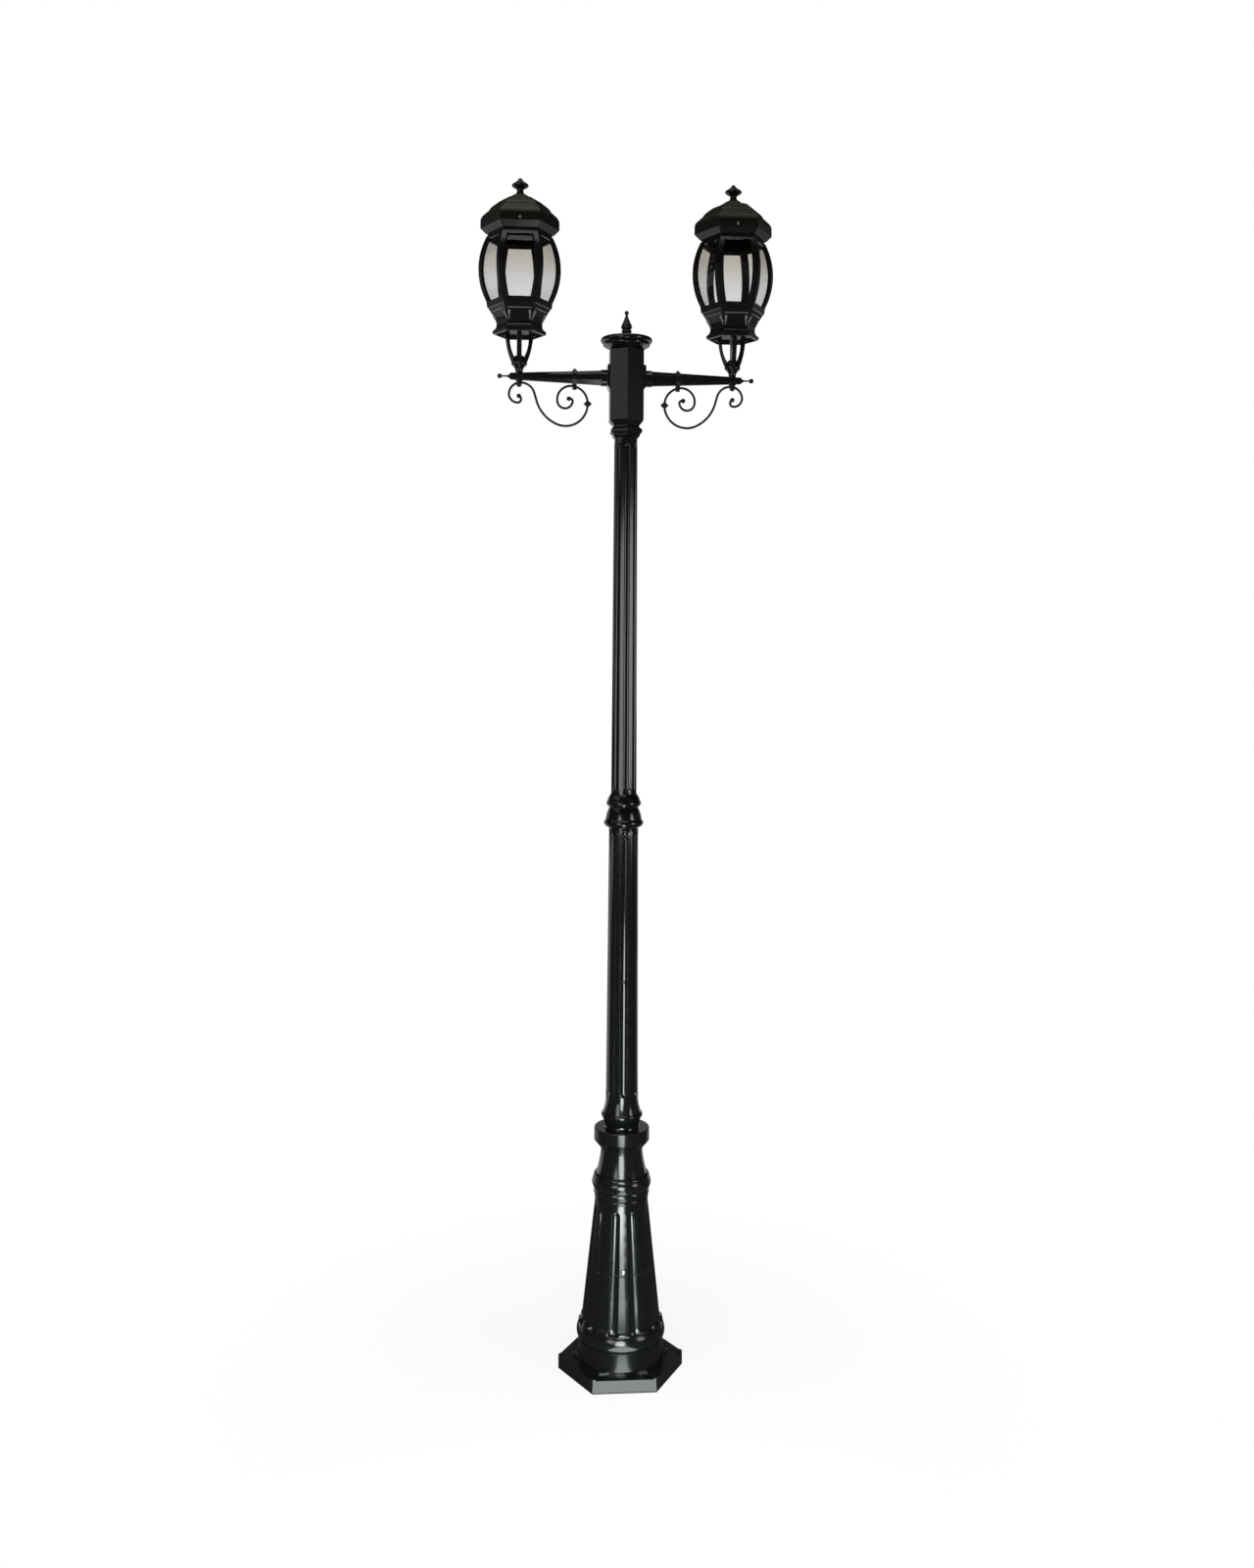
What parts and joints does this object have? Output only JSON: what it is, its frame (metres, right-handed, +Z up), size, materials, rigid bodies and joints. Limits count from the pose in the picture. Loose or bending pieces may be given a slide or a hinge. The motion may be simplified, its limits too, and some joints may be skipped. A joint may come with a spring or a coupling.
{
  "type": "twin head post light",
  "caption": "Outdoor post light with a fluted pole on a flared base, arms with scrolls and a six-sided lantern with bent glass panes on each arm.",
  "frame": {"origin": "bottom centre of the base plate's underside", "axes": "+Z up the post, X along the arms, the front of the light faces -Y"},
  "size_m": [0.5946, 0.2166, 2.3799],
  "materials": {
    "powder_black": "glossy",
    "screw_black": "glossy",
    "zinc_steel": "satin",
    "clear_glass": "glossy",
    "holder_ceramic": "glossy",
    "block_plastic": "matte"
  },
  "bodies": {
    "post": {"base_foot": "powder_black", "base_cone": "powder_black", "lower_pole": "powder_black", "mid_collar": "powder_black", "upper_pole": "powder_black", "column_ring": "powder_black", "column": "powder_black", "arm_left": "powder_black", "arm_right": "powder_black", "arm_flange_left": "powder_black", "arm_flange_right": "powder_black", "arm_tip_left": "powder_black", "arm_tip_right": "powder_black", "scroll_left": "powder_black", "scroll_right": "powder_black", "scroll_clamp_left": "powder_black", "scroll_clamp_right": "powder_black", "scroll_knot_left": "powder_black", "scroll_knot_right": "powder_black", "cap_nut_left": "powder_black", "cap_nut_right": "powder_black", "tripod_left": "powder_black", "tripod_right": "powder_black", "basket_left": "powder_black", "basket_right": "powder_black", "cage_left": "powder_black", "cage_right": "powder_black", "base_screws": "screw_black", "pole_screws": "screw_black", "arm_screw_left": "screw_black", "arm_screw_right": "screw_black", "tripod_screws_left": "screw_black", "tripod_screws_right": "screw_black", "stem_left": "zinc_steel", "stem_right": "zinc_steel", "arm_nut_left": "zinc_steel", "arm_nut_right": "zinc_steel", "cap_stud": "zinc_steel", "glass_left": "clear_glass", "glass_right": "clear_glass", "lamp_holder_left": "holder_ceramic", "lamp_holder_right": "holder_ceramic", "terminal_block": "block_plastic"},
    "roof_left": {"roof_left": "powder_black", "roof_finial_left": "powder_black", "roof_screws_left": "screw_black"},
    "roof_right": {"roof_right": "powder_black", "roof_finial_right": "powder_black", "roof_screws_right": "screw_black"},
    "cap": {"column_cap": "powder_black", "column_finial": "powder_black"}
  },
  "joints": [
    {"name": "roof_lift_left", "type": "slide", "parent": "post", "child": "roof_left", "axis": [0, 0, 1], "range_m": [0, 0.2]},
    {"name": "roof_lift_right", "type": "slide", "parent": "post", "child": "roof_right", "axis": [0, 0, 1], "range_m": [0, 0.2]},
    {"name": "cap_lift", "type": "slide", "parent": "post", "child": "cap", "axis": [0, 0, 1], "range_m": [0, 0.08]}
  ]
}
